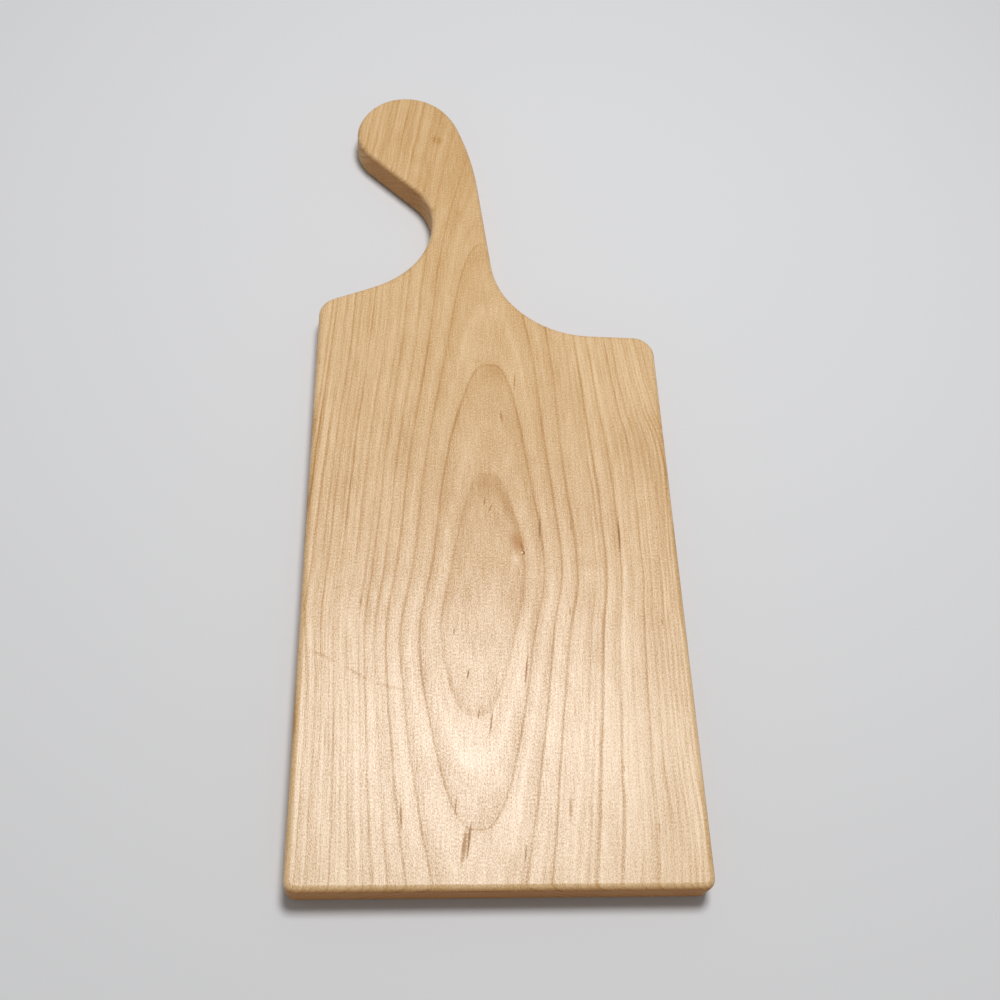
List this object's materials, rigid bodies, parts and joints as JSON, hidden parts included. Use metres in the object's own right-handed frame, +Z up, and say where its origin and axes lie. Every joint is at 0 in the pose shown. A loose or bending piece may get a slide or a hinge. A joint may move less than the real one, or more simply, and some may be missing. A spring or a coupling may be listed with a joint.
{
  "type": "cutting board",
  "caption": "Rectangular maple cutting board with eased edges and an offset handle that curls over into a hook with an open finger gap.",
  "frame": {"origin": "centre of the bounding box of the underside, on the surface the board lies on", "axes": "+Y along the grain from the blade's square end to the tip of the handle, +Z up through the thickness to the cutting face, +X to the right with the cutting face up and the handle pointing away"},
  "size_m": [0.2032, 0.527, 0.0191],
  "materials": {
    "hard_maple": "satin",
    "knot_wood": "satin"
  },
  "bodies": {
    "root": {"maple_plank": "hard_maple", "pin_knot": "knot_wood"}
  },
  "joints": []
}
